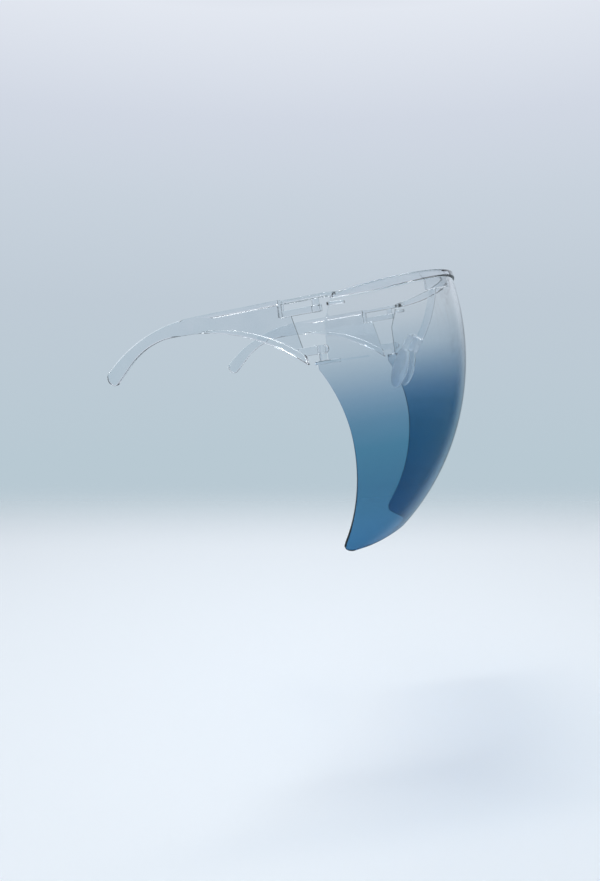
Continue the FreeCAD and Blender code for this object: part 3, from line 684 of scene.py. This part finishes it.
def makeVisor(lens):
    outline = rearOutline(lens)
    run = [0]
    for before, after in zip(outline, outline[1:]):
        run.append(run[-1] + math.dist(before, after))
    shares = [length / run[-1] for length in run]
    sides = visorSides(outline, shares, lens)
    rows = len(outline) - 1
    bm = bmesh.new()
    bmesh.ops.create_grid(bm, x_segments=lens["columns"], y_segments=rows, size=1)
    for vert in bm.verts:
        row = round((1 - vert.co.y) / 2 * rows)
        turn, level = blendPlace(abs(vert.co.x), shares[row], sides)
        across = math.copysign(lens["acrossRadius"] * math.sin(turn), vert.co.x)
        vert.co = (across, -forwardAt(turn, level, lens), level)
    bmesh.ops.scale(bm, verts=bm.verts, vec=(mm, mm, mm))
    bmesh.ops.transform(bm, matrix=fromHinge, verts=bm.verts)
    bmesh.ops.recalc_face_normals(bm, faces=bm.faces)
    if sum(face.normal.y for face in bm.faces) > 0:   # outwards is -Y
        bmesh.ops.reverse_faces(bm, faces=bm.faces)
    piece = meshPiece(bm, "visorLens", tintedSheet)
    wall = piece.modifiers.new("wall", "SOLIDIFY")
    wall.thickness = lens["thickness"] * mm
    wall.offset = -1   # inwards
    wall.use_even_offset = True
    rim = piece.modifiers.new("rim", "BEVEL")
    rim.width = lens["rimRounding"] * mm
    rim.segments = lens["rimSteps"]
    rim.limit_method = "ANGLE"
    rim.angle_limit = math.radians(lens["rimAngle"])
    rim.use_clamp_overlap = False
    evenShading(piece)
    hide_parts("visor_lens")
    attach(piece, "front")


makeVisor(visorLens)
print("visor made")

upperRib = {
    "rear": (5.0, 1.8),     # forward of the hinges, depth outside the visor
    "front": (13.5, 0.2),
    "root": -1,
    "level": -2.6,
    "height": 1.7,
    "easing": 0.3,
    "easingSteps": 3,
}


def ribAcross(forward, depth, rib, lens):
    across, down = lens["acrossRadius"] + depth, lens["downRadius"] + depth
    drop = rib["level"] + lens["apexDrop"]
    apex = lens["reach"] - lens["downRadius"] + math.sqrt(down ** 2 - drop ** 2)
    return math.sqrt(across ** 2 - (forward - apex + across) ** 2)


def makeUpperRib(side, name, rib, lens):
    bm = bmesh.new()
    bmesh.ops.create_cube(bm, size=2)   # corners at 1 and -1
    for vert in bm.verts:
        forward, depth = rib["front"] if vert.co.y < 0 else rib["rear"]
        if vert.co.x < 0:
            depth = rib["root"]
        level = rib["level"] + rib["height"] * (vert.co.z + 1) / 2
        vert.co = (side * ribAcross(forward, depth, rib, lens), -forward, level)
    bmesh.ops.recalc_face_normals(bm, faces=bm.faces)
    bevelEdges(bm, bm.edges, rib["easing"], rib["easingSteps"], True)
    piece = placePiece(bm, name, clearPlastic, fromHinge)
    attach(piece, "front")


makeUpperRib(1, "upperRibLeft", upperRib, visorLens)
makeUpperRib(-1, "upperRibRight", upperRib, visorLens)
print("upper ribs made")

# floor, background and lamps

studio = {
    "floorZ": -0.262,
    "floorRadius": 1.6,
    "floorSides": 128,
    "rimFade": (1.0, 1.5),
    "backFade": (0.345, 0.745),   # straight soft edge behind the part, along the camera's heading
    "centre": (0, 0.05),
    "floorColour": (0.80, 0.85, 0.91),
    "floorRoughness": 0.6,
    "floorSpecular": 0.2,
    "mirroredFloor": 0.12,
    "dome": 0.60,
    "domeColour": (0.95, 0.98, 1),
    "darkSide": 240,            # degrees, the open side of the studio as glossy surfaces see it
    "darkEdge": (-0.25, 0.12),
    "darkLevel": 0.03,
    "mirroredLow": 0.55,        # how bright glossy surfaces see the backdrop, below and above the horizon
    "mirroredHigh": 1.15,
    "mirroredRise": (0.02, 0.16),
    "mirroredCeiling": 0.02,
    "mirroredFall": (0.78, 0.86),
    "sky": [
        (0.415, (0.479, 0.584, 0.651)),
        (0.525, (0.521, 0.597, 0.672)),
        (0.595, (0.578, 0.645, 0.723)),
        (0.645, (0.638, 0.686, 0.776)),
        (0.705, (0.768, 0.807, 0.880)),
        (0.78, (0.30, 0.33, 0.38)),
        (0.85, (0.10, 0.11, 0.13)),
        (0.90, (0.10, 0.11, 0.13)),
        (0.94, (5.0, 5.15, 5.3)),     # lit ceiling, bright streaks along clear rails
    ],
}


def makeFloorPaper(settings, heading):
    # fades out towards its rim and behind the part, and is dim in reflections
    material, tree, output, shader = startMaterial("floorPaper")
    shader.inputs["Base Color"].default_value = (*settings["floorColour"], 1)
    shader.inputs["Roughness"].default_value = settings["floorRoughness"]
    shader.inputs["Specular IOR Level"].default_value = settings["floorSpecular"]
    coords = addNode(tree, "ShaderNodeTexCoord")
    centre = addNode(tree, "ShaderNodeMapping", vector_type="TEXTURE")
    centre.inputs["Location"].default_value = (*settings["centre"], settings["floorZ"])
    centre.inputs["Rotation"].default_value = (0, 0, math.radians(heading))
    reach = addNode(tree, "ShaderNodeVectorMath", operation="LENGTH")
    parts = addNode(tree, "ShaderNodeSeparateXYZ")
    rim = addRange(tree, settings["rimFade"], (1, 0), smooth=True)
    back = addRange(tree, settings["backFade"], (1, 0), smooth=True)
    both = addNode(tree, "ShaderNodeMath", operation="MULTIPLY")
    path = addNode(tree, "ShaderNodeLightPath")
    mirrored = addRange(tree, (0, 1), (1, settings["mirroredFloor"]))
    shown = addNode(tree, "ShaderNodeMath", operation="MULTIPLY")
    link = tree.links.new
    link(coords.outputs["Object"], centre.inputs["Vector"])
    link(centre.outputs["Vector"], reach.inputs[0])
    link(centre.outputs["Vector"], parts.inputs["Vector"])
    link(reach.outputs["Value"], rim.inputs["Value"])
    link(parts.outputs["X"], back.inputs["Value"])
    link(rim.outputs["Result"], both.inputs[0])
    link(back.outputs["Result"], both.inputs[1])
    link(path.outputs["Is Reflection Ray"], mirrored.inputs["Value"])
    link(both.outputs["Value"], shown.inputs[0])
    link(mirrored.outputs["Result"], shown.inputs[1])
    link(shown.outputs["Value"], shader.inputs["Alpha"])
    link(shader.outputs["BSDF"], output.inputs["Surface"])
    return material


def makeFloor(settings, heading):
    bm = bmesh.new()
    bmesh.ops.create_circle(
        bm, cap_ends=True, segments=settings["floorSides"], radius=settings["floorRadius"]
    )
    bmesh.ops.translate(bm, verts=bm.verts, vec=(*settings["centre"], settings["floorZ"]))
    floor = meshPiece(bm, "floor", makeFloorPaper(settings, heading))


def makeSky(settings):
    # a plain dome lights the part, and the backdrop is what camera, glossy and clear surfaces see
    world = bpy.data.worlds.new("studioSky")
    scene.world = world
    world.use_nodes = True
    tree = world.node_tree
    tree.nodes.clear()
    output = addNode(tree, "ShaderNodeOutputWorld")
    coords = addNode(tree, "ShaderNodeTexCoord")
    parts = addNode(tree, "ShaderNodeSeparateXYZ")
    lift = addRange(tree, (-1, 1))
    ramp = addRamp(tree, settings["sky"])
    path = addNode(tree, "ShaderNodeLightPath")
    angle = math.radians(settings["darkSide"])
    facing = addNode(
        tree, "ShaderNodeVectorMath", {1: (math.cos(angle), math.sin(angle), 0)},
        operation="DOT_PRODUCT",
    )
    edge = addRange(tree, settings["darkEdge"], (1, settings["darkLevel"]), smooth=True)
    levels = (settings["mirroredLow"], settings["mirroredHigh"])
    rise = addRange(tree, settings["mirroredRise"], levels, smooth=True)
    fall = addRange(tree, settings["mirroredFall"], (1, settings["mirroredCeiling"]))
    mirrorSide = addNode(tree, "ShaderNodeMath", operation="MULTIPLY")
    mirrorLevel = addNode(tree, "ShaderNodeMath", operation="MULTIPLY")
    mirrored = addNode(tree, "ShaderNodeMix", {2: 1}, data_type="FLOAT")
    seen = addNode(tree, "ShaderNodeBackground")
    dome = addNode(
        tree, "ShaderNodeBackground",
        {"Color": (*settings["domeColour"], 1), "Strength": settings["dome"]},
    )
    either = addNode(tree, "ShaderNodeMath", operation="MAXIMUM")
    anyOf = addNode(tree, "ShaderNodeMath", operation="MAXIMUM")
    mix = addNode(tree, "ShaderNodeMixShader")
    link = tree.links.new
    link(coords.outputs["Generated"], parts.inputs["Vector"])
    link(parts.outputs["Z"], lift.inputs["Value"])
    link(lift.outputs["Result"], ramp.inputs["Fac"])
    link(ramp.outputs["Color"], seen.inputs["Color"])
    link(coords.outputs["Generated"], facing.inputs[0])
    link(facing.outputs["Value"], edge.inputs["Value"])
    link(path.outputs["Is Reflection Ray"], mirrored.inputs[0])
    link(parts.outputs["Z"], rise.inputs["Value"])
    link(parts.outputs["Z"], fall.inputs["Value"])
    link(edge.outputs["Result"], mirrorSide.inputs[0])
    link(rise.outputs["Result"], mirrorSide.inputs[1])
    link(mirrorSide.outputs["Value"], mirrorLevel.inputs[0])
    link(fall.outputs["Result"], mirrorLevel.inputs[1])
    link(mirrorLevel.outputs["Value"], mirrored.inputs[3])
    link(mirrored.outputs[0], seen.inputs["Strength"])
    link(path.outputs["Is Camera Ray"], either.inputs[0])
    link(path.outputs["Is Glossy Ray"], either.inputs[1])
    link(either.outputs["Value"], anyOf.inputs[0])
    link(path.outputs["Is Transmission Ray"], anyOf.inputs[1])
    link(anyOf.outputs["Value"], mix.inputs["Fac"])
    link(dome.outputs["Background"], mix.inputs[1])
    link(seen.outputs["Background"], mix.inputs[2])
    link(mix.outputs["Shader"], output.inputs["Surface"])


softboxes = {
    "overhead": {
        "place": (0.05, 0.05, 0.80),
        "turn": 0,
        "size": (0.9, 0.9),
        "power": 3.0,
        "shown": False,   # in reflections and through clear plastic
    },
    "topStrip": {
        "place": (0.04, 0.12, 0.78),
        "turn": 33,
        "size": (0.07, 0.9),
        "power": 3.2,
        "shown": True,
    },
}


def makeSoftbox(name, settings):
    data = bpy.data.lights.new(name, "AREA")
    data.shape = "RECTANGLE"
    data.size, data.size_y = settings["size"]
    data.energy = settings["power"]
    lamp = bpy.data.objects.new(name, data)
    scene.collection.objects.link(lamp)
    lamp.visible_glossy = lamp.visible_transmission = settings["shown"]
    lamp.location = settings["place"]
    lamp.rotation_euler = (0, 0, math.radians(settings["turn"]))


makeFloor(studio, cameraView["heading"])
makeSky(studio)
for name, settings in softboxes.items():
    makeSoftbox(name, settings)
scene.view_settings.view_transform = "Standard"
print("studio set")
